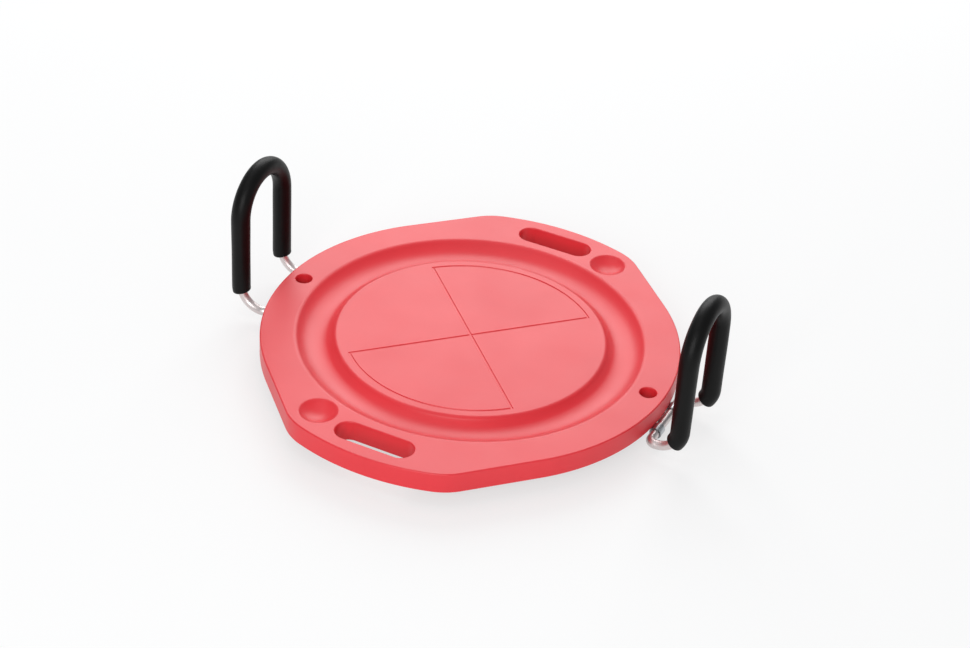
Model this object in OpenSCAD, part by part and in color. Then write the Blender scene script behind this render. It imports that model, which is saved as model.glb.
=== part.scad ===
// Round training board with two folding padded handles.
// The deck is a moulded shell closed from below by a base plate. Each handle is a closed wire
// bail that turns in two strap clips under the rim and folds inward over the deck.
// Frame: origin on the floor under the deck's centre, +Z up, the handles on +X and -X.

/* [Deck outline] */
// Radius of the deck's round sides, where the handles are
deck_r = 249; // [225:1:290]
// How far the two end lobes, where the hand slots are, reach beyond that radius
lobe_out = 22; // [18:1:30]
// Radius of the four corners between a straight edge and a lobe
corner_r = 70; // [40:1:85]
// Height of the deck's side wall
deck_h = 25.5; // [23:0.5:34]
// Thickness of the skirt round the deck
skirt_t = 4; // [3:0.5:6]
// Thickness of the top skin
skin_t = 4; // [3:0.5:4.5]

/* [Deck face] */
// Width of the flat rim beside a handle, from the deck's edge to the round channel
rim_w = 42.5; // [40:0.5:52]
// Width of the channel, from the rim to the edge of the centre disc's top
channel_w = 45.5; // [38:0.5:56]
// Depth of the channel below the rim
channel_depth = 11.5; // [8:0.5:12]
// How far the disc's top lies below the rim
disc_drop = 1.5; // [0.5:0.25:3]
// Distance of the engraved arcs from the edge of the disc's top
mark_inset = 12; // [6:1:40]
// Width of the engraved lines
mark_w = 3; // [2:0.25:5]
// Depth of the engraved lines
mark_depth = 1.2; // [0.5:0.1:2]

/* [Slots, holes and dimples] */
// Overall length of a hand slot
slot_l = 96; // [84:1:116]
// Width of a hand slot
slot_w = 31; // [25:1:34]
// Distance from a lobe's edge to the middle of its hand slot
slot_in = 34.5; // [32:0.5:36]
// Diameter of the two through holes
hole_d = 20; // [12:0.5:22]
// Distance from the deck's edge to the middle of a through hole
hole_in = 20.5; // [19:0.5:26]
// Radius of a dimple's mouth
dimple_r = 22; // [18:0.5:23]
// Depth of a dimple
dimple_depth = 9; // [5:0.5:10]
// Gap between the end of a hand slot and the dimple beside it
dimple_gap = 9.6; // [8:0.1:11]
// How far nearer to the deck's centre than its slot a dimple lies
dimple_in = 14.3; // [12:0.1:17]

/* [Handles] */
// Diameter of the handle's steel rod
rod_d = 11; // [8:0.5:12]
// Outer diameter of the foam sleeve
sleeve_d = 23; // [18:0.5:28]
// Distance between a handle's two legs, centre to centre
leg_gap = 95.4; // [88:0.2:120]
// Distance from the deck's edge out to a handle's legs
leg_out = 39; // [34:0.5:55]
// Distance from the deck's edge out to a handle's pivot axis
pivot_out = 3.5; // [3:0.1:4.5]
// Depth of the pivot axis below the deck's underside
pivot_drop = 5; // [4.8:0.1:7]
// Height of the legs' straight part above the deck's top
leg_rise = 88; // [60:1:140]
// Bend radius where the pivot bar turns outward
elbow_r = 7.5; // [7:0.5:10]
// How far round its lower bends the shorter, left sleeve reaches, in degrees
left_wrap = 17; // [5:1:45]
// How far round its lower bends the longer, right sleeve reaches, in degrees
right_wrap = 38; // [5:1:45]

/* [Hinge hardware] */
// Radial clearance of the pivot bar in its clips
pivot_fit = 0.05; // [0.02:0.01:0.1]
// Thickness of a strap clip's steel
clip_t = 1.75; // [1.2:0.05:1.9]
// Width of a strap clip
clip_w = 12; // [10:0.5:14]
// Distance of a clip from the middle of the pivot bar
clip_y = 23; // [22:0.5:26]
// Length of a clip's tongue, from the pivot axis inward
clip_l = 38; // [34:1:42]
// Width of the stop lug on the pivot bar
lug_w = 18; // [12:1:22]
// Reach of the stop lug inward from the pivot axis
lug_l = 13; // [10:0.5:13.5]
// Thickness of the stop lug
lug_t = 3; // [2:0.5:3]

/* [Underside] */
// Thickness of the base plate
plate_t = 3; // [2:0.5:4]
// Gap round the base plate
plate_gap = 0.3; // [0.2:0.1:0.6]
// Height of the rubber feet
foot_h = 20; // [18:0.5:30]
// Diameter of a foot at its top
foot_d = 40; // [34:1:50]
// Distance from the deck's edge to the middle of a foot
foot_in = 61; // [59:1:90]
// Thickness of the ribs inside the deck
rib_t = 3; // [2:0.5:4]
// Number of radial ribs
rib_count = 12; // [8:4:16]

/* [Fasteners] */
// Shank diameter of the screws
screw_d = 4; // [3:0.5:5]
// Head diameter of the screws
head_d = 8; // [7:0.5:9]
// Head height of the screws
head_h = 2.6; // [2:0.1:3]
// Radius of the ring of base plate screws
plate_screw_r = 110; // [80:1:120]
// Number of base plate screws
plate_screws = 6; // [4:1:8]
// Outer diameter of the brass inserts
insert_d = 6.4; // [5.6:0.2:7]
// Length of the brass inserts
insert_l = 10; // [6:0.5:12]

/* [Hidden] */
$fn = 96;

eps = 1;
seam = 0.005;
screw_fit = 0.05;
seat_gap = 0.3;

// Levels
deck_z = foot_h;
top_z = foot_h + deck_h;
rib_z = deck_z + plate_t;
disc_z = top_z - disc_drop;
pivot_z = deck_z - pivot_drop;

// Places on the deck
lobe_r = deck_r + lobe_out;
channel_r = deck_r - rim_w;
disc_r = channel_r - channel_w;
mark_r = disc_r - mark_inset;
slot_y = lobe_r - slot_in;
hole_x = deck_r - hole_in;
foot_dist = deck_r - foot_in;
dimple_x = slot_l / 2 + dimple_gap + dimple_r;
dimple_y = slot_y - dimple_in;

// Outline: the straight edges touch the round sides at 45 degrees, and each corner arc touches
// its straight edge and its lobe
corner_dist = lobe_r - corner_r;
corner_dir = 45 + acos((deck_r - corner_r) / corner_dist);
corner_x = corner_dist * cos(corner_dir);
corner_y = corner_dist * sin(corner_dir);

// Channel: an arc that meets the rim at channel_r and the disc's wall at wall_foot_r
wall_foot_r = disc_r + 8;
trough_r = wall_foot_r + 12;
trough_half = channel_r - trough_r;
trough_curve = (trough_half * trough_half + channel_depth * channel_depth) / (2 * channel_depth);
trough_out = asin(trough_half / trough_curve);
trough_in = asin((trough_r - wall_foot_r) / trough_curve);
trough_steps = 14;

// Dimple: a ball that cuts a mouth of dimple_r at dimple_depth
dimple_ball = (dimple_r * dimple_r + dimple_depth * dimple_depth) / (2 * dimple_depth);

// Handle
pivot_x = deck_r + pivot_out;
leg_x = deck_r + leg_out;
leg_y = leg_gap / 2;
bend_r = leg_x - pivot_x - elbow_r;
leg_z = pivot_z + bend_r;
arch_z = top_z + leg_rise;
bar_half = leg_y - elbow_r;
rod_r = rod_d / 2;
sleeve_split = 0.02;
bore_run = 15;

// Hinge hardware
clip_eye_r = rod_r + pivot_fit + clip_t;
clip_screw_x = pivot_x - clip_l + head_d / 2 + 4;
boss_wall = 2.6;
slot_wall = 3.5;
tube_wall = 3.5;

// Feet
foot_taper = 3;
foot_well = 9;
washer_t = 1.5;
foot_screw_up = 7;

module ring_of(count, dist, start = 0) {
  for (i = [0 : count - 1])
    rotate(start + i * 360 / count)
      translate([dist, 0, 0])
        children();
}

// The deck's outline, drawn inside its edge by inset: a round middle and a lobe at each end,
// with straight edges that touch the round sides at 45 degrees. The straight edges and the lobes
// lie a seam inside the circles that they touch, so that they cross them
module outline(inset = 0) {
  side_r = deck_r - inset - seam;
  end_r = corner_r - inset - seam;
  circle(r = deck_r - inset);
  for (turn = [0, 180])
    rotate(turn) {
      polygon([
        side_r * [cos(45), sin(45)],
        [corner_x + end_r * cos(45), corner_y + end_r * sin(45)],
        [-corner_x - end_r * cos(45), corner_y + end_r * sin(45)],
        side_r * [-cos(45), sin(45)],
      ]);
      for (side = [-1, 1])
        translate([side * corner_x, corner_y])
          circle(r = corner_r - inset);
      intersection() {
        circle(r = lobe_r - inset - seam);
        polygon([[0, 0], 2 * [corner_x, corner_y], 2 * [-corner_x, corner_y]]);
      }
    }
}

module stadium(length, width) {
  straight = length - width;
  square([straight, width], center = true);
  for (side = [-1, 1])
    translate([side * straight / 2, 0])
      circle(d = width);
}

// Half section of everything above the disc and the channel, sunk by depth
module face_section(depth = 0) {
  polygon(concat(
    [
      [0, eps],
      [0, -disc_drop - depth],
      [disc_r - depth / 2, -disc_drop - depth],
      [disc_r + 4.5 - depth, -channel_depth + 4 - depth],
    ],
    [
      for (i = [0 : trough_steps])
        let (turn = -trough_in + i * (trough_in + trough_out) / trough_steps)
          [
            trough_r + (trough_curve + depth) * sin(turn),
            trough_curve - channel_depth - (trough_curve + depth) * cos(turn),
          ]
    ],
    [[trough_r + (trough_curve + depth) * sin(trough_out), eps]]
  ));
}

module face_cut(depth = 0) {
  translate([0, 0, top_z])
    rotate_extrude()
      face_section(depth);
}

module at_slots() {
  for (side = [-1, 1])
    translate([0, side * slot_y, 0])
      children();
}

module at_holes() {
  for (side = [-1, 1])
    translate([side * hole_x, 0, 0])
      children();
}

module at_dimples() {
  for (turn = [0, 180])
    rotate(turn)
      translate([dimple_x, dimple_y, top_z - dimple_depth + dimple_ball])
        children();
}

module at_clip_screws() {
  for (side = [-1, 1], end = [-1, 1])
    translate([side * clip_screw_x, end * clip_y, 0])
      children();
}

// Walls that stand inside the deck between the base plate and the top skin
module inner_walls() {
  wall_h = top_z - rib_z;
  translate([0, 0, rib_z]) {
    ring_of(rib_count, 0, 180 / rib_count)
      translate([40, -rib_t / 2, 0])
        cube([lobe_r, rib_t, wall_h]);
    for (r = [40, plate_screw_r])
      difference() {
        cylinder(r = r + rib_t / 2, h = wall_h);
        translate([0, 0, -eps])
          cylinder(r = r - rib_t / 2, h = wall_h + 2 * eps);
      }
    ring_of(plate_screws, plate_screw_r)
      cylinder(d = screw_d + 4 * boss_wall, h = wall_h);
    ring_of(4, foot_dist, 45)
      cylinder(d = screw_d + 4 * boss_wall, h = wall_h);
    at_clip_screws()
      cylinder(d = insert_d + 2 * boss_wall, h = wall_h);
  }
}

// The hollow between the base plate and the top skin
module deck_hollow() {
  difference() {
    union() {
      translate([0, 0, deck_z - eps])
        linear_extrude(plate_t + eps)
          outline(skirt_t);
      difference() {
        translate([0, 0, rib_z])
          linear_extrude(top_z - skin_t - rib_z)
            outline(skirt_t);
        face_cut(skin_t);
        at_dimples()
          sphere(r = dimple_ball + skin_t);
        inner_walls();
      }
    }
    at_slots()
      linear_extrude(top_z)
        stadium(slot_l + 2 * slot_wall, slot_w + 2 * slot_wall);
    at_holes()
      cylinder(d = hole_d + 2 * tube_wall, h = top_z);
  }
}

// Two engraved diameters, and an engraved arc at each end of the board
module face_marks() {
  translate([0, 0, disc_z - mark_depth]) {
    for (turn = [45, 135])
      rotate(turn)
        translate([-mark_r - mark_w / 2, -mark_w / 2, 0])
          cube([2 * mark_r + mark_w, mark_w, mark_depth + eps]);
    for (start = [45, 225])
      rotate(start)
        rotate_extrude(angle = 90)
          translate([mark_r - mark_w / 2, 0])
            square([mark_w, mark_depth + eps]);
  }
}

module deck() {
  color("#ee7078")
  difference() {
    translate([0, 0, deck_z])
      linear_extrude(deck_h)
        outline();
    face_cut();
    at_dimples()
      sphere(r = dimple_ball);
    deck_hollow();
    at_slots()
      translate([0, 0, deck_z - eps])
        linear_extrude(deck_h + 2 * eps)
          stadium(slot_l, slot_w);
    at_holes()
      translate([0, 0, deck_z - eps])
        cylinder(d = hole_d, h = deck_h + 2 * eps);
    face_marks();
    // pilot holes for the base plate screws and the foot screws
    ring_of(plate_screws, plate_screw_r)
      translate([0, 0, deck_z])
        cylinder(d = screw_d + 2 * screw_fit, h = plate_t + 9);
    ring_of(4, foot_dist, 45)
      translate([0, 0, deck_z])
        cylinder(d = screw_d + 2 * screw_fit, h = plate_t + foot_screw_up);
    // seats of the brass inserts
    at_clip_screws()
      translate([0, 0, deck_z])
        cylinder(d = insert_d + 2 * screw_fit, h = plate_t + insert_l + seat_gap);
    // scallops in the lower edge, which clear the clips' eyes
    for (side = [-1, 1], end = [-1, 1])
      translate([side * pivot_x, end * clip_y, pivot_z])
        rotate([90, 0, 0])
          cylinder(r = clip_eye_r + seat_gap, h = clip_w + 2 * seat_gap, center = true);
  }
}

module base_plate() {
  color("#7c2028")
  translate([0, 0, deck_z])
    difference() {
      linear_extrude(plate_t)
        outline(skirt_t + plate_gap);
      translate([0, 0, -eps]) {
        at_slots()
          linear_extrude(plate_t + 2 * eps)
            stadium(
              slot_l + 2 * slot_wall + 2 * plate_gap,
              slot_w + 2 * slot_wall + 2 * plate_gap
            );
        at_holes()
          cylinder(d = hole_d + 2 * tube_wall + 2 * plate_gap, h = plate_t + 2 * eps);
        ring_of(plate_screws, plate_screw_r)
          cylinder(d = screw_d + 2 * screw_fit, h = plate_t + 2 * eps);
        ring_of(4, foot_dist, 45)
          cylinder(d = screw_d + 2 * screw_fit, h = plate_t + 2 * eps);
        at_clip_screws()
          cylinder(d = screw_d + 2 * screw_fit, h = plate_t + 2 * eps);
      }
    }
}

// A pan-head screw that points up, with its head's upper face at the origin
module pan_screw(length) {
  drive_d = head_d / 2.6;
  difference() {
    union() {
      cylinder(d = screw_d, h = length);
      translate([0, 0, -head_h])
        cylinder(d = head_d, h = head_h);
    }
    translate([0, 0, -head_h - eps])
      cylinder(d = drive_d, h = eps + head_h * 0.6, $fn = 6);
  }
}

module base_plate_screws() {
  color("#b9bbbd")
  ring_of(plate_screws, plate_screw_r)
    translate([0, 0, deck_z])
      pan_screw(plate_t + 8);
}

module clip_screws() {
  color("#b9bbbd")
  at_clip_screws()
    translate([0, 0, deck_z - clip_t])
      pan_screw(clip_t + plate_t + insert_l - 1);
}

module clip_inserts() {
  color("#c8a15a")
  at_clip_screws()
    translate([0, 0, rib_z])
      difference() {
        cylinder(d = insert_d, h = insert_l);
        translate([0, 0, -eps])
          cylinder(d = screw_d + 2 * screw_fit, h = insert_l + 2 * eps);
      }
}

// A strap clip: an eye round the pivot bar and a tongue screwed under the deck
module strap_clip(side, end) {
  color("#c4c6c8")
  mirror([side < 0 ? 1 : 0, 0, 0])
    translate([pivot_x, end * clip_y, 0])
      difference() {
        union() {
          translate([0, 0, pivot_z])
            rotate([90, 0, 0])
              cylinder(r = clip_eye_r, h = clip_w, center = true);
          translate([-clip_l, -clip_w / 2, deck_z - clip_t])
            cube([clip_l - rod_r, clip_w, clip_t]);
        }
        translate([0, 0, pivot_z])
          rotate([90, 0, 0])
            cylinder(r = rod_r + pivot_fit, h = clip_w + 2 * eps, center = true);
        translate([clip_screw_x - pivot_x, 0, 0])
          cylinder(d = screw_d + 2 * screw_fit, h = top_z);
      }
}

// A rubber foot with a well for its screw
module foot(turn) {
  color("#26262a")
  rotate(turn)
    translate([foot_dist, 0, 0])
      difference() {
        rotate_extrude()
          polygon([
            [0, 0],
            [foot_d / 2 - foot_taper - 1, 0],
            [foot_d / 2 - foot_taper, 1],
            [foot_d / 2, foot_h],
            [0, foot_h],
          ]);
        translate([0, 0, -eps])
          cylinder(d = head_d + 6, h = foot_well + eps);
        cylinder(d = screw_d + 2 * screw_fit, h = foot_h + eps);
      }
}

module foot_washers() {
  color("#b9bbbd")
  ring_of(4, foot_dist, 45)
    translate([0, 0, foot_well - washer_t])
      difference() {
        cylinder(d = head_d + 5, h = washer_t);
        translate([0, 0, -eps])
          cylinder(d = screw_d + 2 * screw_fit, h = washer_t + 2 * eps);
      }
}

module foot_screws() {
  color("#b9bbbd")
  ring_of(4, foot_dist, 45)
    translate([0, 0, foot_well - washer_t])
      pan_screw(rib_z + foot_screw_up - 1 - foot_well + washer_t);
}

// The bends below the legs, as round bars that turn inward by the given angle: at 90 degrees they
// reach the elbows of the pivot bar
module lower_bends(radius, turn) {
  for (end = [-1, 1])
    translate([leg_x - bend_r, end * leg_y, leg_z])
      rotate([90, 0, 0])
        rotate(-turn)
          rotate_extrude(angle = turn)
            translate([bend_r, 0])
              circle(r = radius);
}

// The straight part of both legs, as round bars that stop short of its two ends by split
module legs(radius, split = 0) {
  for (end = [-1, 1])
    translate([leg_x, end * leg_y, leg_z + split])
      cylinder(r = radius, h = arch_z - leg_z - 2 * split);
}

// The arch that joins the legs' tops, as a bent round bar
module arch(radius) {
  translate([leg_x, 0, arch_z])
    rotate([90, 0, 90])
      rotate_extrude(angle = 180)
        translate([leg_y, 0])
          circle(r = radius);
}

module handle_bar() {
  color("#c9c4c4") {
    legs(rod_r);
    arch(rod_r);
    lower_bends(rod_r, 90);
    for (end = [-1, 1])
      translate([pivot_x + elbow_r, end * bar_half, pivot_z])
        rotate(end > 0 ? 90 : 180)
          rotate_extrude(angle = 90)
            translate([elbow_r, 0])
              circle(r = rod_r);
    translate([pivot_x, 0, pivot_z])
      rotate([90, 0, 0])
        cylinder(r = rod_r, h = 2 * bar_half, center = true);
  }
}

// A lug welded on the pivot bar, which meets the deck's underside when the handle is upright
module stop_lug() {
  color("#c9c4c4")
  difference() {
    translate([pivot_x - lug_l, -lug_w / 2, deck_z - seat_gap - lug_t])
      cube([lug_l, lug_w, lug_t]);
    translate([pivot_x, 0, pivot_z])
      rotate([90, 0, 0])
        cylinder(r = rod_r + pivot_fit, h = lug_w + 2 * eps, center = true);
  }
}

// A foam sleeve over the legs and the arch, which goes on round the lower bends for wrap degrees.
// It is drawn as five tubes that all but meet where the curve changes
module grip_sleeve(wrap) {
  bore_r = rod_r + seat_gap;
  color("#141414") {
    difference() {
      legs(sleeve_d / 2, sleeve_split);
      legs(bore_r);
    }
    difference() {
      arch(sleeve_d / 2);
      arch(bore_r);
    }
    difference() {
      lower_bends(sleeve_d / 2, wrap);
      lower_bends(bore_r, wrap + bore_run);
    }
  }
}

module to_left() {
  mirror([1, 0, 0])
    children();
}

deck();
base_plate();
base_plate_screws();
clip_inserts();
clip_screws();
strap_clip(1, -1);  // right_front_clip
strap_clip(1, 1);  // right_rear_clip
strap_clip(-1, -1);  // left_front_clip
strap_clip(-1, 1);  // left_rear_clip
foot(45);  // foot_1
foot(135);  // foot_2
foot(225);  // foot_3
foot(315);  // foot_4
foot_washers();
foot_screws();
handle_bar();  // right_handle_bar
stop_lug();  // right_stop_lug
grip_sleeve(right_wrap);  // right_grip_sleeve
to_left() handle_bar();  // left_handle_bar
to_left() stop_lug();  // left_stop_lug
to_left() grip_sleeve(left_wrap);  // left_grip_sleeve
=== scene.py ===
"""The looks of the round training board: its moulded deck, foam sleeves, steel wire handles and
the hardware under it, in a plain pale studio."""

import logging
import math
from collections.abc import Callable, Sequence
from dataclasses import dataclass, field
from enum import Enum

import bmesh
import bpy
from mathutils import Matrix, Vector


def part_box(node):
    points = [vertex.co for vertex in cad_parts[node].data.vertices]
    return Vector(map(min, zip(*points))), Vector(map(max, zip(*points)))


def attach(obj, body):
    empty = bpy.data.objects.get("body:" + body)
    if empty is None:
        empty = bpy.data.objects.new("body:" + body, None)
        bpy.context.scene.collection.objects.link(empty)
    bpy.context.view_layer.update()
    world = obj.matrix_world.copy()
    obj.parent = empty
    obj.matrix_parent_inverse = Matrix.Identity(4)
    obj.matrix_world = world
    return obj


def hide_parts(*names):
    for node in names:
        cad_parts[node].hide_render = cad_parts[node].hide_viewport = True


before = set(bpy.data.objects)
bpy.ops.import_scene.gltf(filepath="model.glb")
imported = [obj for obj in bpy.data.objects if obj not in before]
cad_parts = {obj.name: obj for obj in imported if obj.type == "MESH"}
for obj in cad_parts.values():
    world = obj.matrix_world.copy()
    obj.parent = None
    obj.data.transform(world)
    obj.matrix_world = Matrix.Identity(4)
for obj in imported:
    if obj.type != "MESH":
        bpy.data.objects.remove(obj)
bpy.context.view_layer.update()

LOG = logging.getLogger("training_board")
MM = 0.001

Ring = list[Vector]
Profile = list[tuple[float, float]]


# ---------------------------------------------------------------------------------------------
# Small helpers
# ---------------------------------------------------------------------------------------------


def linear(colour: str) -> tuple[float, float, float, float]:
    """Turns an sRGB hex colour into linear light.

    Args:
        colour: Six hex digits with a leading hash.

    Returns:
        The linear red, green and blue, and an alpha of 1.
    """
    values = [int(colour[i : i + 2], 16) / 255 for i in (1, 3, 5)]
    lit = [v / 12.92 if v <= 0.04045 else ((v + 0.055) / 1.055) ** 2.4 for v in values]
    return (lit[0], lit[1], lit[2], 1.0)


def add_node(
    tree: bpy.types.NodeTree,
    kind: str,
    settings: dict | None = None,
    links: dict | None = None,
) -> bpy.types.Node:
    """Adds one shader node.

    Args:
        tree: The node tree that gets the node.
        kind: The node's type.
        settings: Values by socket name or number, or by the name of a property of the node.
        links: Output sockets of other nodes, by the name or number of the socket they feed.

    Returns:
        The new node.
    """
    made = tree.nodes.new(kind)
    for name, value in (settings or {}).items():
        if isinstance(name, int) or name in made.inputs:
            made.inputs[name].default_value = value
        else:
            setattr(made, name, value)
    for name, source in (links or {}).items():
        tree.links.new(source, made.inputs[name])
    return made


def arc(centre: tuple[float, float], radius: float, start: float, end: float, steps: int) -> Profile:
    """Points on an arc.

    Args:
        centre: The arc's centre.
        radius: Its radius.
        start: The direction of its first point, in degrees.
        end: The direction of its last point, in degrees.
        steps: How many chords it has.

    Returns:
        The points, one more than the steps.
    """
    turns = [math.radians(start + (end - start) * i / steps) for i in range(steps + 1)]
    return [(centre[0] + radius * math.cos(t), centre[1] + radius * math.sin(t)) for t in turns]


def eased_corner(first: tuple[float, float], corner: tuple[float, float], last: tuple[float, float]) -> Profile:
    """A soft corner between two straight runs.

    Args:
        first: Where the first run ends.
        corner: Where the two runs would meet.
        last: Where the second run starts.

    Returns:
        Seven points of a curve that leaves and arrives in line with both runs.
    """
    points = []
    for i in range(7):
        t = i / 6
        a, b, c = (1 - t) * (1 - t), 2 * t * (1 - t), t * t
        points.append(tuple(a * p + b * q + c * r for p, q, r in zip(first, corner, last)))
    return points


def between(start: tuple[float, float], end: tuple[float, float], reach: float) -> tuple[float, float]:
    """The point that lies reach from start on the way to end."""
    share = reach / math.dist(start, end)
    return (start[0] + (end[0] - start[0]) * share, start[1] + (end[1] - start[1]) * share)


def new_object(name: str, mesh: bpy.types.Mesh) -> bpy.types.Object:
    """Puts a mesh in the scene as an object of that name."""
    made = bpy.data.objects.new(name, mesh)
    bpy.context.scene.collection.objects.link(made)
    return made


def loft(name: str, rings: Sequence[Ring], closed: bool = False) -> bpy.types.Object:
    """Joins rings of equal length into a closed solid.

    Args:
        name: The new object's name.
        rings: The rings, in order.
        closed: True joins the last ring to the first. Otherwise both ends get a flat face.

    Returns:
        The new object, with its faces turned outward.
    """
    shape = bmesh.new()
    rows = [[shape.verts.new(p) for p in ring] for ring in rings]
    pairs = list(zip(rows, rows[1:]))
    if closed:
        pairs.append((rows[-1], rows[0]))
    else:
        shape.faces.new(rows[0][::-1])
        shape.faces.new(rows[-1])
    for low, high in pairs:
        for i in range(len(low)):
            j = (i + 1) % len(low)
            shape.faces.new((low[i], low[j], high[j], high[i]))
    bmesh.ops.recalc_face_normals(shape, faces=shape.faces)
    mesh = bpy.data.meshes.new(name)
    shape.to_mesh(mesh)
    shape.free()
    return new_object(name, mesh)


def turned(name: str, profile: Profile, place: Vector, segments: int = 96) -> bpy.types.Object:
    """Turns a profile about an upright axis.

    Args:
        name: The new object's name.
        profile: Radius and height of each point, in metres, from the bottom of the axis to its
            top. The two ends get flat faces.
        place: A point of the axis; the profile's heights count from it.
        segments: How many faces go round.

    Returns:
        The new object.
    """
    ways = [2 * math.pi * i / segments for i in range(segments)]
    rings = [[place + Vector((r * math.cos(w), r * math.sin(w), h)) for w in ways] for r, h in profile]
    return loft(name, rings)


def joined(name: str, parts: Sequence[bpy.types.Object]) -> bpy.types.Object:
    """Puts the meshes of several objects into one new object, and removes them."""
    shape = bmesh.new()
    for part in parts:
        shape.from_mesh(part.data)
        bpy.data.objects.remove(part)
    mesh = bpy.data.meshes.new(name)
    shape.to_mesh(mesh)
    shape.free()
    return new_object(name, mesh)


def cut(body: bpy.types.Object, tool: bpy.types.Object) -> None:
    """Takes the tool's shape out of the body, and removes the tool."""
    change = body.modifiers.new("cut", "BOOLEAN")
    change.operation = "DIFFERENCE"
    change.solver = "EXACT"
    change.object = tool
    graph = bpy.context.evaluated_depsgraph_get()
    mesh = bpy.data.meshes.new_from_object(body.evaluated_get(graph))
    body.modifiers.remove(change)
    body.data = mesh
    bpy.data.objects.remove(tool)


def smooth(piece: bpy.types.Object, angle: float = 32.0) -> None:
    """Shades a piece smooth except at edges sharper than the angle, in degrees."""
    piece.data.shade_smooth()
    piece.data.set_sharp_from_angle(angle=math.radians(angle))
    weigh = piece.modifiers.new("face weights", "WEIGHTED_NORMAL")
    weigh.keep_sharp = True


def dress(piece: bpy.types.Object, material: bpy.types.Material) -> None:
    """Gives a piece one material all over."""
    piece.data.materials.clear()
    piece.data.materials.append(material)


# ---------------------------------------------------------------------------------------------
# Finishes
# ---------------------------------------------------------------------------------------------


@dataclass(frozen=True)
class Grain:
    """A fine relief in a surface.

    Fields:
        size_mm: How far apart its grains lie.
        height_mm: How deep it is.
        roundness: 0 for crisp cells, 1 for soft waves; not used.
    """

    size_mm: float
    height_mm: float
    roundness: float = 1.0


@dataclass(frozen=True)
class Finish:
    """What every finish has: a real material, its colours and how it takes light."""

    name: str
    colour: str
    deep_colour: str
    roughness: float
    metallic: float
    ior: float
    grain: Grain
    drift_mm: float
    drift: float
    coat: float = 0.0
    coat_roughness: float = 0.1
    sheen: float = 0.0
    specular: float = 0.5

    def material(self) -> bpy.types.Material:
        """Builds the finish once and returns it each later time.

        Returns:
            The Blender material.
        """
        found = bpy.data.materials.get(self.name)
        if found is not None:
            return found
        made = bpy.data.materials.new(self.name)
        made.use_nodes = True
        tree = made.node_tree
        tree.nodes.clear()
        place = add_node(tree, "ShaderNodeTexCoord").outputs["Object"]
        colour = self.colour_nodes(tree, place)
        roughness = self.roughness_nodes(tree, place)
        shader = add_node(
            tree,
            "ShaderNodeBsdfPrincipled",
            {
                "Metallic": self.metallic,
                "IOR": self.ior,
                "Specular IOR Level": self.specular,
                "Coat Weight": self.coat,
                "Coat Roughness": self.coat_roughness,
                "Sheen Weight": self.sheen,
                "Sheen Roughness": 0.5,
            },
            {"Base Color": colour, "Roughness": roughness, "Normal": self.relief_nodes(tree, place)},
        )
        add_node(tree, "ShaderNodeOutputMaterial", links={"Surface": shader.outputs[0]})
        return made

    def colour_nodes(self, tree: bpy.types.NodeTree, place: bpy.types.NodeSocket) -> bpy.types.NodeSocket:
        """Lets the colour drift a little between its two tones, as a batch of real stuff does.

        Args:
            tree: The material's node tree.
            place: The coordinates that the pattern lies in.

        Returns:
            The socket that holds the colour.
        """
        cloud = add_node(
            tree,
            "ShaderNodeTexNoise",
            {"Scale": 1 / (self.drift_mm * MM), "Detail": 3.0, "Roughness": 0.55},
            {"Vector": place},
        )
        tones = add_node(
            tree,
            "ShaderNodeMapRange",
            {"From Min": 0.3, "From Max": 0.7, "To Min": 0.0, "To Max": self.drift},
            {"Value": cloud.outputs["Fac"]},
        )
        mix = add_node(
            tree,
            "ShaderNodeMix",
            {"data_type": "RGBA", 6: linear(self.colour), 7: linear(self.deep_colour)},
            {0: tones.outputs[0]},
        )
        return mix.outputs[2]

    def roughness_nodes(self, tree: bpy.types.NodeTree, place: bpy.types.NodeSocket) -> bpy.types.NodeSocket:
        """Lets the gloss wander a little over the surface.

        Args:
            tree: The material's node tree.
            place: The coordinates that the pattern lies in.

        Returns:
            The socket that holds the roughness.
        """
        cloud = add_node(
            tree,
            "ShaderNodeTexNoise",
            {"Scale": 1.7 / (self.drift_mm * MM), "Detail": 4.0},
            {"Vector": place},
        )
        spread = add_node(
            tree,
            "ShaderNodeMapRange",
            {
                "From Min": 0.25,
                "From Max": 0.75,
                "To Min": self.roughness - 0.03,
                "To Max": self.roughness + 0.03,
            },
            {"Value": cloud.outputs["Fac"]},
        )
        return spread.outputs[0]

    def relief_nodes(self, tree: bpy.types.NodeTree, place: bpy.types.NodeSocket) -> bpy.types.NodeSocket:
        """Raises the grain.

        Args:
            tree: The material's node tree.
            place: The coordinates that the pattern lies in.

        Returns:
            The socket that holds the surface's direction.
        """
        grains = add_node(
            tree,
            "ShaderNodeTexNoise",
            {"Scale": 1 / (self.grain.size_mm * MM), "Detail": 2.0, "Roughness": 0.5},
            {"Vector": place},
        )
        bump = add_node(
            tree,
            "ShaderNodeBump",
            {"Strength": 1.0, "Distance": self.grain.height_mm * MM},
            {"Height": grains.outputs["Fac"]},
        )
        return bump.outputs[0]


@dataclass(frozen=True)
class BrushedPlate(Finish):
    """Plated steel with drawn lines along one direction of the piece."""

    lines: tuple[float, float, float] = (1.0, 1.0, 1.0)

    def relief_nodes(self, tree: bpy.types.NodeTree, place: bpy.types.NodeSocket) -> bpy.types.NodeSocket:
        """Draws the lines: a noise that is stretched along the way that the metal was drawn."""
        stretched = add_node(
            tree,
            "ShaderNodeMapping",
            {"Scale": self.lines},
            {"Vector": place},
        )
        return super().relief_nodes(tree, stretched.outputs[0])


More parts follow.
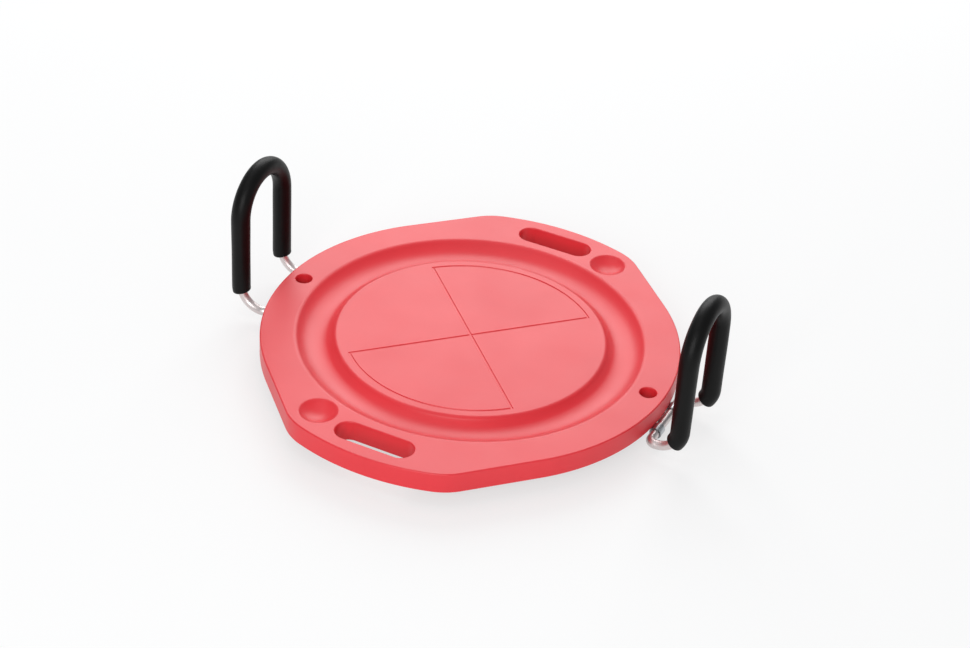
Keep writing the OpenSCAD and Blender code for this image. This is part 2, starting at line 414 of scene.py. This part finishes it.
@dataclass(frozen=True)
class FoamSkin(Finish):
    """Closed-cell foam: a smooth skin with small open pores and shallow dents."""

    pore_mm: float = 1.1
    pore_depth_mm: float = 0.06

    def relief_nodes(self, tree: bpy.types.NodeTree, place: bpy.types.NodeSocket) -> bpy.types.NodeSocket:
        """Sinks the pores and lays the soft dents over them.

        Args:
            tree: The material's node tree.
            place: The coordinates that the pattern lies in.

        Returns:
            The socket that holds the surface's direction.
        """
        cells = add_node(
            tree,
            "ShaderNodeTexVoronoi",
            {"Scale": 1 / (self.pore_mm * MM), "feature": "SMOOTH_F1", "Smoothness": 0.6},
            {"Vector": place},
        )
        pores = add_node(
            tree,
            "ShaderNodeBump",
            {"Strength": 1.0, "Distance": self.pore_depth_mm * MM},
            {"Height": cells.outputs["Distance"]},
        )
        dents = add_node(
            tree,
            "ShaderNodeTexNoise",
            {"Scale": 1 / (self.grain.size_mm * MM), "Detail": 1.0},
            {"Vector": place},
        )
        bump = add_node(
            tree,
            "ShaderNodeBump",
            {"Strength": 1.0, "Distance": self.grain.height_mm * MM},
            {"Height": dents.outputs["Fac"], "Normal": pores.outputs[0]},
        )
        return bump.outputs[0]


# Polypropylene moulded in a lightly blasted tool: a warm red with a soft broad gloss, which turns
# pale where it faces the light at a slant. The 0.8 mm grain is drawn coarser than the real 0.3 mm,
# which would not show.
DECK_POLYPROPYLENE = Finish(
    name="moulded_polypropylene",
    colour="#e7333c",
    deep_colour="#dd2c36",
    roughness=0.4,
    metallic=0.0,
    ior=1.49,
    grain=Grain(0.8, 0.012),
    drift_mm=90.0,
    drift=0.6,
    specular=0.5,
)

# The same plastic from a rougher tool, in a darker batch: flat and dull.
PLATE_POLYPROPYLENE = Finish(
    name="moulded_polypropylene_plate",
    colour="#84242c",
    deep_colour="#741e26",
    roughness=0.6,
    metallic=0.0,
    ior=1.49,
    grain=Grain(1.2, 0.05),
    drift_mm=70.0,
    drift=0.8,
)

# Nitrile foam tube with its extruded skin: deep black that breaks to a soft grey where the light
# rakes it. The pores are drawn at 1.1 mm; the real ones are about half that and would not show.
NITRILE_FOAM = FoamSkin(
    name="extruded_nitrile_foam",
    colour="#0b0b0b",
    deep_colour="#060606",
    roughness=0.42,
    metallic=0.0,
    ior=1.5,
    grain=Grain(9.0, 0.12),
    drift_mm=24.0,
    drift=0.8,
    specular=0.16,
)

# Mild steel wire, bent and satin nickel plated: pale, faintly warm, with a soft blurred mirror.
NICKEL_WIRE = Finish(
    name="satin_nickel_steel_wire",
    colour="#dcd3d2",
    deep_colour="#cfc5c4",
    roughness=0.4,
    metallic=1.0,
    ior=1.5,
    grain=Grain(1.5, 0.008),
    drift_mm=30.0,
    drift=0.7,
)

# Zinc plated steel strip, stamped and folded: grey-blue, with faint lines of the rolling mill.
ZINC_STRIP = BrushedPlate(
    name="zinc_plated_strip",
    colour="#c3c6c9",
    deep_colour="#aeb2b6",
    roughness=0.34,
    metallic=1.0,
    ior=1.5,
    grain=Grain(0.7, 0.012),
    drift_mm=12.0,
    drift=0.9,
    lines=(0.08, 1.0, 1.0),
)

# Zinc plated screws and washers, barrel plated: brighter than the strip and finely pitted.
ZINC_SCREW = Finish(
    name="zinc_plated_screw",
    colour="#c9cbcd",
    deep_colour="#b0b2b4",
    roughness=0.28,
    metallic=1.0,
    ior=1.5,
    grain=Grain(0.6, 0.015),
    drift_mm=5.0,
    drift=0.8,
)

# Turned brass: yellow, with the fine rings of the lathe tool.
TURNED_BRASS = Finish(
    name="turned_brass",
    colour="#cfa85e",
    deep_colour="#b98f45",
    roughness=0.3,
    metallic=1.0,
    ior=1.5,
    grain=Grain(0.5, 0.02),
    drift_mm=6.0,
    drift=0.7,
)

# Moulded rubber: near black, dull, with a fine blasted grain.
MOULDED_RUBBER = Finish(
    name="moulded_rubber",
    colour="#29292c",
    deep_colour="#1f1f22",
    roughness=0.72,
    metallic=0.0,
    ior=1.52,
    grain=Grain(0.9, 0.05),
    drift_mm=20.0,
    drift=0.9,
    sheen=0.08,
)


# ---------------------------------------------------------------------------------------------
# The board
# ---------------------------------------------------------------------------------------------


@dataclass
class Deck:
    """The moulded deck, with every edge eased as it leaves the mould. Sizes are in millimetres.

    Its ribs and its hollow above the base plate can't be seen, so they stay in the CAD node that
    this piece stands for.
    """

    corner_r: float = 70.0
    rim_w: float = 42.5
    channel_w: float = 45.5
    channel_depth: float = 11.5
    disc_drop: float = 1.5
    mark_inset: float = 12.0
    mark_w: float = 3.0
    mark_depth: float = 0.9
    slot_l: float = 96.0
    slot_w: float = 31.0
    slot_in: float = 34.5
    hole_d: float = 20.0
    hole_in: float = 20.5
    dimple_r: float = 22.0
    dimple_depth: float = 9.0
    dimple_gap: float = 9.6
    dimple_in: float = 14.3
    skirt_t: float = 4.0
    wall_t: float = 3.5
    top_edge: float = 1.8
    low_edge: float = 1.2
    lip: float = 0.03
    deck_r: float = field(init=False)
    lobe_r: float = field(init=False)
    low_z: float = field(init=False)
    top_z: float = field(init=False)

    def __post_init__(self) -> None:
        """Takes the overall sizes from the frame."""
        low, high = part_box("deck")
        self.deck_r = high.x / MM
        self.lobe_r = high.y / MM
        self.low_z = low.z / MM
        self.top_z = high.z / MM

    def point(self, x: float, y: float, z: float) -> Vector:
        """A point given in millimetres, as metres."""
        return Vector((x, y, z)) * MM

    def outline(self, inset: float, z: float) -> Ring:
        """The deck's outline: two round sides and two lobes, joined by straight edges at 45 degrees.

        Args:
            inset: How far inside the deck's edge it is drawn.
            z: Its height.

        Returns:
            The ring of points.
        """
        reach = self.lobe_r - self.corner_r
        turn = 45 + math.degrees(math.acos((self.deck_r - self.corner_r) / reach))
        hub = (reach * math.cos(math.radians(turn)), reach * math.sin(math.radians(turn)))
        corner_r = self.corner_r - inset
        half = arc((0, 0), self.deck_r - inset, -45, 45, 72)
        half += arc(hub, corner_r, 45, turn, 14)
        half += arc((0, 0), self.lobe_r - inset, turn, 180 - turn, 30)[1:-1]
        half += arc((-hub[0], hub[1]), corner_r, 180 - turn, 135, 14)
        return [self.point(x, y, z) for x, y in half] + [self.point(-x, -y, z) for x, y in half]

    def stadium(self, centre_y: float, grow: float, z: float) -> Ring:
        """A hand slot's outline.

        Args:
            centre_y: Where the slot's middle lies.
            grow: How far outside the slot's wall it is drawn.
            z: Its height.

        Returns:
            The ring of points.
        """
        radius = self.slot_w / 2 + grow
        side = (self.slot_l - self.slot_w) / 2
        ends = arc((side, centre_y), radius, -90, 90, 28) + arc((-side, centre_y), radius, 90, 270, 28)
        return [self.point(x, y, z) for x, y in ends]

    def eased_wall(self, top: float, low: float) -> Profile:
        """How far a hole's wall stands back at each height, with its mouths eased.

        Args:
            top: The radius of the upper mouth's edge.
            low: The radius of the lower mouth's edge.

        Returns:
            The pairs of distance and height, from below the deck to above it.
        """
        below = [(d, h) for d, h in arc((low, self.low_z + low), low, 270, 180, 7)]
        above = [(d, h) for d, h in arc((top, self.top_z - top), top, 180, 90, 9)]
        lower = [(below[0][0], self.low_z - 2)] + [(d, h - self.lip) for d, h in below]
        upper = [(d, h + self.lip) for d, h in above] + [(above[-1][0], self.top_z + 2)]
        return lower + upper

    def blank(self) -> bpy.types.Object:
        """The deck's outer shape, with its upper and lower edges eased."""
        low, top = self.low_edge, self.top_edge
        walls = arc((low, self.low_z + low), low, 270, 180, 6)
        walls += arc((top, self.top_z - top), top, 180, 90, 8)
        return loft("deck_shell", [self.outline(inset, z) for inset, z in walls])

    def channel_profile(self) -> Profile:
        """The half section of the sunk disc and the round channel, as radius and depth."""
        channel_r = self.deck_r - self.rim_w
        disc_r = channel_r - self.channel_w
        wall_foot = (disc_r + 4.5, 4 - self.channel_depth)
        trough_r = disc_r + 20
        half = channel_r - trough_r
        curve = (half * half + self.channel_depth * self.channel_depth) / (2 * self.channel_depth)
        hub = (trough_r, curve - self.channel_depth)
        inner = math.degrees(math.asin(12 / curve))
        outer = math.degrees(math.asin(half / curve))
        bed = arc(hub, curve, 270 - inner + 4, 270 + outer - 6, 26)
        disc_edge = (disc_r, -self.disc_drop)
        slope = math.radians(4 - inner)
        rise = math.radians(outer - 6)
        foot = (bed[0][0] - 3, bed[0][1] - 3 * math.tan(slope))
        rim = (bed[-1][0] - bed[-1][1] / math.tan(rise), 0.0)
        run = math.dist(bed[-1], rim)
        points = [(0.0001, -self.disc_drop), (disc_r - 12, -self.disc_drop)]
        points += eased_corner((disc_r - 3.2, -self.disc_drop), disc_edge, between(disc_edge, wall_foot, 3.2))
        points += eased_corner(between(wall_foot, disc_edge, 3.4), foot, bed[0])[:-1]
        points += bed[:-1]
        points += eased_corner(bed[-1], rim, (rim[0] + run, self.lip))
        return points + [(rim[0] + run, 3.0)]

    def dimple_profile(self) -> Profile:
        """The half section of a dimple, as radius and depth."""
        depth = self.dimple_depth
        ball = (self.dimple_r * self.dimple_r + depth * depth) / (2 * depth)
        slope = math.degrees(math.asin(self.dimple_r / ball)) - 3
        bowl = arc((0, ball - depth), ball, 270, 270 + slope, 16)
        bowl[0] = (0.0001, -depth)
        mouth = (bowl[-1][0] - bowl[-1][1] / math.tan(math.radians(slope)), 0.0)
        run = math.dist(bowl[-1], mouth)
        bowl += eased_corner(bowl[-1], mouth, (mouth[0] + run, self.lip))[1:]
        return bowl + [(mouth[0] + run, 2.0)]

    def turned_cut(self, profile: Profile, x: float, y: float, segments: int) -> bpy.types.Object:
        """A turned cutter that stands on the deck's top.

        Args:
            profile: Radius and height of each point, in millimetres.
            x: Where its axis stands.
            y: Where its axis stands.
            segments: How many faces go round.

        Returns:
            The cutter.
        """
        small = [(r * MM, h * MM) for r, h in profile]
        return turned("cutter", small, self.point(x, y, self.top_z), segments)

    def openings(self) -> bpy.types.Object:
        """The hand slots, the through holes and the dimples, as one cutter."""
        parts = []
        slot_y = self.lobe_r - self.slot_in
        hole_x = self.deck_r - self.hole_in
        dimple = Vector((self.slot_l / 2 + self.dimple_gap + self.dimple_r, slot_y - self.dimple_in))
        for side in (-1, 1):
            wall = self.eased_wall(1.8, 0.8)
            parts.append(loft("cutter", [self.stadium(side * slot_y, d, h) for d, h in wall]))
            wall = self.eased_wall(1.4, 0.8)
            bore = [(self.hole_d / 2 + d, h - self.top_z) for d, h in wall]
            parts.append(self.turned_cut(bore, side * hole_x, 0, 64))
            parts.append(self.turned_cut(self.dimple_profile(), side * dimple.x, side * dimple.y, 96))
        return joined("cutter", parts)

    def plate_recess(self) -> bpy.types.Object:
        """The space for the base plate, which leaves the walls round the slots and holes."""
        tall = [self.low_z - 1, self.low_z + 3.02]
        recess = loft("recess", [self.outline(self.skirt_t, z) for z in tall])
        slot_y = self.lobe_r - self.slot_in
        hole_x = self.deck_r - self.hole_in
        posts = []
        for side in (-1, 1):
            heights = (self.low_z - 3, self.low_z + 5)
            posts.append(loft("post", [self.stadium(side * slot_y, self.wall_t, z) for z in heights]))
            tube = [(self.hole_d / 2 + self.wall_t, h - self.top_z) for h in heights]
            posts.append(self.turned_cut(tube, side * hole_x, 0, 64))
        cut(recess, joined("posts", posts))
        return recess

    def seats(self) -> bpy.types.Object:
        """The seats of the screws and inserts, and the scallops that clear the clips' eyes."""
        parts = []
        for node, grow in (("base_plate_screws", 0.05), ("foot_screws", 0.05), ("clip_inserts", 0.05)):
            for centre, radius, height in solids_of(node):
                bore = [(radius + grow * MM, self.low_z * MM - 2 * MM), (radius + grow * MM, height + 1 * MM)]
                parts.append(turned("seat", bore, Vector((centre.x, centre.y, 0)), 32))
        for clip in ("right_front_clip", "right_rear_clip", "left_front_clip", "left_rear_clip"):
            low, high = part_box(clip)
            eye_x = high.x - Clips.eye_r * MM if high.x > 0 else low.x + Clips.eye_r * MM
            axis = Vector((eye_x, 0, low.z + Clips.eye_r * MM))
            radius = (Clips.eye_r + 0.3) * MM
            ways = [2 * math.pi * i / 48 for i in range(48)]
            across = (low.y - 0.3 * MM, high.y + 0.3 * MM)
            rings = [
                [axis + Vector((radius * math.cos(w), y, radius * math.sin(w))) for w in ways]
                for y in across
            ]
            parts.append(loft("scallop", rings))
        return joined("seats", parts)

    def marks(self) -> list[bpy.types.Object]:
        """The engraved lines as cutters: two diameters, and two quarter rings that join their ends."""
        mark_r = self.deck_r - self.rim_w - self.channel_w - self.mark_inset
        floor_z = self.top_z - self.disc_drop - self.mark_depth
        low_half, high_half = 0.3 * self.mark_w, 0.62 * self.mark_w
        levels = [(low_half, floor_z), (high_half, floor_z + self.mark_depth + 0.5)]
        lines = []
        for turn in (45, 135):
            spin = Matrix.Rotation(math.radians(turn), 3, "Z")
            rings = []
            for half, z in levels:
                reach = mark_r + half
                corners = ((-reach, -half), (reach, -half), (reach, half), (-reach, half))
                rings.append([spin @ self.point(x, y, z) for x, y in corners])
            lines.append(loft("mark", rings))
        arcs = []
        for start in (45, 225):
            rings = []
            for half, z in levels:
                edge = arc((0, 0), mark_r + half, start, start + 90, 90)
                edge += arc((0, 0), mark_r - half, start + 90, start, 90)
                rings.append([self.point(x, y, z) for x, y in edge])
            arcs.append(loft("mark", rings))
        return [*lines, joined("marks", arcs)]

    def build(self) -> list[bpy.types.Object]:
        """Moulds the deck and puts it on the board.

        Returns:
            The deck.
        """
        shell = self.blank()
        cut(shell, self.turned_cut(self.channel_profile(), 0, 0, 288))
        cut(shell, self.openings())
        cut(shell, self.plate_recess())
        cut(shell, self.seats())
        for mark in self.marks():
            cut(shell, mark)
        smooth(shell)
        dress(shell, DECK_POLYPROPYLENE.material())
        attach(shell, "board")
        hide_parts("deck")
        return [shell]


def solids_of(node: str) -> list[tuple[Vector, float, float]]:
    """Finds the separate round solids of a CAD node.

    Args:
        node: The node's name.

    Returns:
        For each solid the centre of its box, the radius of its part above the deck's underside,
        and its upper end.
    """
    shape = bmesh.new()
    shape.from_mesh(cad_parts[node].data)
    bmesh.ops.remove_doubles(shape, verts=shape.verts, dist=0.01 * MM)
    left = set(shape.verts)
    found = []
    while left:
        group = [left.pop()]
        for v in group:
            fresh = [e.other_vert(v) for e in v.link_edges if e.other_vert(v) in left]
            left.difference_update(fresh)
            group.extend(fresh)
        top = max(v.co.z for v in group)
        xs = [v.co.x for v in group if v.co.z > top - 1 * MM]
        ys = [v.co.y for v in group if v.co.z > top - 1 * MM]
        centre = Vector(((min(xs) + max(xs)) / 2, (min(ys) + max(ys)) / 2, top))
        found.append((centre, (max(xs) - min(xs)) / 2, top))
    shape.free()
    return sorted(found, key=lambda s: (round(s[0].x, 4), round(s[0].y, 4)))


class Side(Enum):
    """Which handle a piece belongs to."""

    RIGHT = 1
    LEFT = -1

    @property
    def word(self) -> str:
        """The side's name in node names."""
        return self.name.lower()


@dataclass
class Clips:
    """The four strap clips, with their screws and brass inserts."""

    eye_r: float = 7.3

    def build(self) -> list[bpy.types.Object]:
        """Dresses the clips and what holds them."""
        made = []
        for side in Side:
            for end in ("front", "rear"):
                made.append(dress_node(f"{side.word}_{end}_clip", ZINC_STRIP))
        made.append(dress_node("clip_screws", ZINC_SCREW))
        made.append(dress_node("clip_inserts", TURNED_BRASS))
        return made


def dress_node(name: str, finish: Finish, angle: float = 35.0) -> bpy.types.Object:
    """Gives a CAD node its finish and smooth shading between its real edges.

    Args:
        name: The node's name.
        finish: Its finish.
        angle: Edges sharper than this many degrees stay sharp.

    Returns:
        The node's object.
    """
    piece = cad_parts[name]
    dress(piece, finish.material())
    weld = piece.modifiers.new("weld", "WELD")
    weld.merge_threshold = 0.005 * MM
    smooth(piece, angle)
    return piece


@dataclass
class Underside:
    """The base plate and the four feet, with their screws and washers."""

    feet: int = 4

    def build(self) -> list[bpy.types.Object]:
        """Dresses the plate, the feet and their fasteners."""
        made = [dress_node("base_plate", PLATE_POLYPROPYLENE), dress_node("base_plate_screws", ZINC_SCREW)]
        made += [dress_node(f"foot_{i + 1}", MOULDED_RUBBER) for i in range(self.feet)]
        made += [dress_node(name, ZINC_SCREW) for name in ("foot_washers", "foot_screws")]
        return made


# ---------------------------------------------------------------------------------------------
# The handles
# ---------------------------------------------------------------------------------------------


@dataclass
class Handle:
    """A folding wire handle with its foam sleeve. Sizes are in millimetres."""

    side: Side
    wrap: float
    sleeve_r: float = 11.5
    bore_r: float = 5.8
    bend_r: float = 28.0
    end_edge: float = 2.6
    segments: int = 56
    step: float = 2.0

    def route(self) -> list[Vector]:
        """The sleeve's middle line, from the end of one lower bend to the other, in metres.

        Returns:
            The points, a step apart.
        """
        _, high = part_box(f"{self.side.word}_grip_sleeve")
        low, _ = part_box(f"{self.side.word}_handle_bar")
        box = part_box(f"{self.side.word}_grip_sleeve")
        leg_x = max(abs(box[0].x), abs(box[1].x)) / MM - self.sleeve_r
        leg_y = high.y / MM - self.sleeve_r
        arch_z = high.z / MM - self.sleeve_r - leg_y
        rod_r = self.bore_r - 0.3
        leg_z = low.z / MM + rod_r + self.bend_r
        hub = (leg_x - self.bend_r, leg_z)
        bend_steps = max(3, round(math.radians(self.wrap) * self.bend_r / self.step))
        leg_steps = round((arch_z - leg_z) / self.step)
        arch_steps = round(math.pi * leg_y / self.step)
        bend = [(x, leg_y, z) for x, z in arc(hub, self.bend_r, -self.wrap, 0, bend_steps)]
        leg = [(leg_x, leg_y, leg_z + (arch_z - leg_z) * i / leg_steps) for i in range(1, leg_steps)]
        arch = [(leg_x, y, z) for y, z in arc((0, arch_z), leg_y, 0, 180, arch_steps)]
        first = bend + leg
        last = [(x, -y, z) for x, y, z in reversed(first)]
        flip = self.side.value
        return [Vector((flip * x, y, z)) * MM for x, y, z in first + arch + last]

    def girth(self, along: float, length: float) -> float:
        """The sleeve's outer radius at one place.

        It wavers by a fraction of a millimetre along the sleeve.

        Args:
            along: The distance from the sleeve's first end.
            length: The sleeve's whole length; not used.

        Returns:
            The radius, in metres.
        """
        wave = 0.14 * math.sin(along / (31 * MM)) + 0.09 * math.sin(along / (13 * MM) + 1.3)
        return (self.sleeve_r - 0.1 + wave) * MM

    def sleeve(self) -> bpy.types.Object:
        """The foam sleeve: one tube from end to end, with its bore and eased ends.

        Returns:
            The sleeve.
        """
        route = self.route()
        count = len(route)
        ways = [(route[min(i + 1, count - 1)] - route[max(i - 1, 0)]).normalized() for i in range(count)]
        along = [0.0]
        for a, b in zip(route, route[1:]):
            along.append(along[-1] + (b - a).length)
        across = Vector((0, 1, 0))
        frames = []
        for way in ways:
            across = (across - across.dot(way) * way).normalized()
            frames.append((across.copy(), way.cross(across)))
        rings: list[Ring] = []

        def ring(index: int, radius: float, push: float = 0.0) -> None:
            """Adds a ring round the route, pushed out past an end by that much."""
            u, v = frames[index]
            hub = route[index] + push * ways[index]
            turns = [2 * math.pi * k / self.segments for k in range(self.segments)]
            rings.append([hub + radius * (math.cos(t) * u + math.sin(t) * v) for t in turns])

        edge, bore = self.end_edge * MM, self.bore_r * MM
        lip = [math.radians(90 * k / 6) for k in range(7)]
        first_r, last_r = self.girth(0, along[-1]), self.girth(along[-1], along[-1])
        for t in reversed(lip):
            ring(0, first_r - edge + edge * math.cos(t), edge - edge * math.sin(t))
        for i in range(2, count - 2):
            ring(i, self.girth(along[i], along[-1]))
        for t in lip:
            ring(count - 1, last_r - edge + edge * math.cos(t), edge * math.sin(t) - edge)
        ring(count - 1, bore + 0.6 * MM)
        ring(count - 1, bore, -0.6 * MM)
        for i in range(count - 3, 1, -2):
            ring(i, bore)
        ring(0, bore, 0.6 * MM)
        ring(0, bore + 0.6 * MM)
        return loft(f"{self.side.word}_foam_sleeve", rings, closed=True)

    def build(self) -> list[bpy.types.Object]:
        """Makes the sleeve and dresses the wire and its lug.

        Returns:
            The handle's pieces.
        """
        sleeve = self.sleeve()
        sleeve.data.shade_smooth()
        sleeve.data.set_sharp_from_angle(angle=math.radians(50))
        dress(sleeve, NITRILE_FOAM.material())
        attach(sleeve, f"{self.side.word}_handle")
        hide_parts(f"{self.side.word}_grip_sleeve")
        bar = dress_node(f"{self.side.word}_handle_bar", NICKEL_WIRE)
        lug = dress_node(f"{self.side.word}_stop_lug", NICKEL_WIRE)
        return [sleeve, bar, lug]


# ---------------------------------------------------------------------------------------------
# The studio
# ---------------------------------------------------------------------------------------------


@dataclass
class Studio:
    """A pale floor, soft lamps and the camera. Lengths are in metres and angles in degrees."""

    azimuth: float = 24.27
    elevation: float = 34.61
    roll: float = 3.83
    distance: float = 2.5656
    aside: float = 0.01675
    lower: float = 0.01155
    lens_mm: float = 80.4

    def camera(self) -> None:
        """Sets up the camera, which looks at the middle of the deck's top."""
        a, e, r = (math.radians(v) for v in (self.azimuth, self.elevation, self.roll))
        back = Vector((math.sin(a) * math.cos(e), -math.cos(a) * math.cos(e), math.sin(e)))
        level = Vector((math.cos(a), math.sin(a), 0))
        upright = back.cross(level)
        right = math.cos(r) * level + math.sin(r) * upright
        up = math.cos(r) * upright - math.sin(r) * level
        deck_top = Vector((0, 0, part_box("deck")[1].z))
        place = deck_top + self.distance * back + self.aside * right + self.lower * up
        turn = Matrix((right, up, back)).transposed()
        data = bpy.data.cameras.new("camera")
        data.sensor_width = 36
        data.lens = self.lens_mm
        data.clip_end = 60
        seen = bpy.data.objects.new("camera", data)
        seen.matrix_world = Matrix.Translation(place) @ turn.to_4x4()
        bpy.context.scene.collection.objects.link(seen)
        bpy.context.scene.camera = seen

    def lamp(self, name: str, place: Vector, size: float, power: float) -> None:
        """Adds a soft square lamp that points at the deck.

        Args:
            name: The lamp's name.
            place: Where it stands.
            size: The length of its sides.
            power: Its power in watts.
        """
        data = bpy.data.lights.new(name, "AREA")
        data.size = size
        data.energy = power
        lit = bpy.data.objects.new(name, data)
        lit.location = place
        lit.rotation_euler = (place - Vector((0, 0, 0.04))).to_track_quat("Z", "Y").to_euler()
        bpy.context.scene.collection.objects.link(lit)

    def lamps(self) -> None:
        """Sets a wide lamp behind and above the board, a big one overhead and a weak one in front."""
        self.lamp("behind", Vector((-1.25, 2.7, 2.1)), 2.8, 87.0)
        self.lamp("overhead", Vector((-0.6, -0.4, 2.6)), 2.0, 8.0)
        self.lamp("front", Vector((0.6, -2.8, 1.5)), 1.8, 48.0)

    def world(self) -> None:
        """Fills the shadows with an even pale light, and shows white to the camera."""
        made = bpy.data.worlds.new("studio")
        made.use_nodes = True
        tree = made.node_tree
        tree.nodes.clear()
        rays = add_node(tree, "ShaderNodeLightPath")
        seen = self.either(tree, rays.outputs["Is Camera Ray"], rays.outputs["Is Transmission Ray"])
        fill = add_node(tree, "ShaderNodeBackground", {"Color": linear("#f4f6f8"), "Strength": 0.45})
        white = add_node(tree, "ShaderNodeBackground", {"Color": (1, 1, 1, 1), "Strength": 1.0})
        mix = add_node(tree, "ShaderNodeMixShader", links={0: seen, 1: fill.outputs[0], 2: white.outputs[0]})
        add_node(tree, "ShaderNodeOutputWorld", links={"Surface": mix.outputs[0]})
        bpy.context.scene.world = made

    def either(
        self, tree: bpy.types.NodeTree, first: bpy.types.NodeSocket, second: bpy.types.NodeSocket
    ) -> bpy.types.NodeSocket:
        """The greater of two sockets' values."""
        return add_node(tree, "ShaderNodeMath", {"operation": "MAXIMUM"}, {0: first, 1: second}).outputs[0]

    def floor(self) -> bpy.types.Object:
        """Lays a wide floor that looks white, keeps a faint shadow and is clear from below.

        Returns:
            The floor.
        """
        shape = bmesh.new()
        bmesh.ops.create_grid(shape, x_segments=2, y_segments=2, size=14)
        mesh = bpy.data.meshes.new("floor")
        shape.to_mesh(mesh)
        shape.free()
        made = new_object("floor", mesh)
        paint = bpy.data.materials.new("white_floor_paint")
        paint.use_nodes = True
        tree = paint.node_tree
        tree.nodes.clear()
        rays = add_node(tree, "ShaderNodeLightPath")
        shown = self.either(tree, rays.outputs["Is Camera Ray"], rays.outputs["Is Glossy Ray"])
        matt = add_node(tree, "ShaderNodeBsdfDiffuse", {"Color": linear("#f6f6f6")})
        glow = add_node(tree, "ShaderNodeEmission", {"Color": (1, 1, 1, 1), "Strength": 1.0})
        half = add_node(tree, "ShaderNodeMath", {"operation": "MULTIPLY", 1: 0.62}, {0: shown})
        mix = add_node(
            tree,
            "ShaderNodeMixShader",
            links={0: half.outputs[0], 1: matt.outputs[0], 2: glow.outputs[0]},
        )
        below = add_node(tree, "ShaderNodeNewGeometry").outputs["Backfacing"]
        clear = add_node(tree, "ShaderNodeBsdfTransparent")
        sheet = add_node(
            tree, "ShaderNodeMixShader", links={0: below, 1: mix.outputs[0], 2: clear.outputs[0]}
        )
        add_node(tree, "ShaderNodeOutputMaterial", links={"Surface": sheet.outputs[0]})
        dress(made, paint)
        made.location.z = -0.0002
        return made

    def build(self) -> None:
        """Sets up the whole studio."""
        bpy.context.scene.view_settings.view_transform = "Standard"
        self.floor()
        self.lamps()
        self.world()
        self.camera()


# ---------------------------------------------------------------------------------------------


def main() -> None:
    """Builds the board piece by piece and logs each one."""
    logging.basicConfig(level=logging.INFO, format="%(name)s: %(message)s")
    makers: list[Callable[[], list[bpy.types.Object]]] = [
        Deck().build,
        Underside().build,
        Clips().build,
        Handle(Side.RIGHT, wrap=38.0).build,
        Handle(Side.LEFT, wrap=17.0).build,
    ]
    for make in makers:
        for piece in make():
            LOG.info("%s: %d faces", piece.name, len(piece.data.polygons))
    Studio().build()


if __name__ == "__main__":
    main()
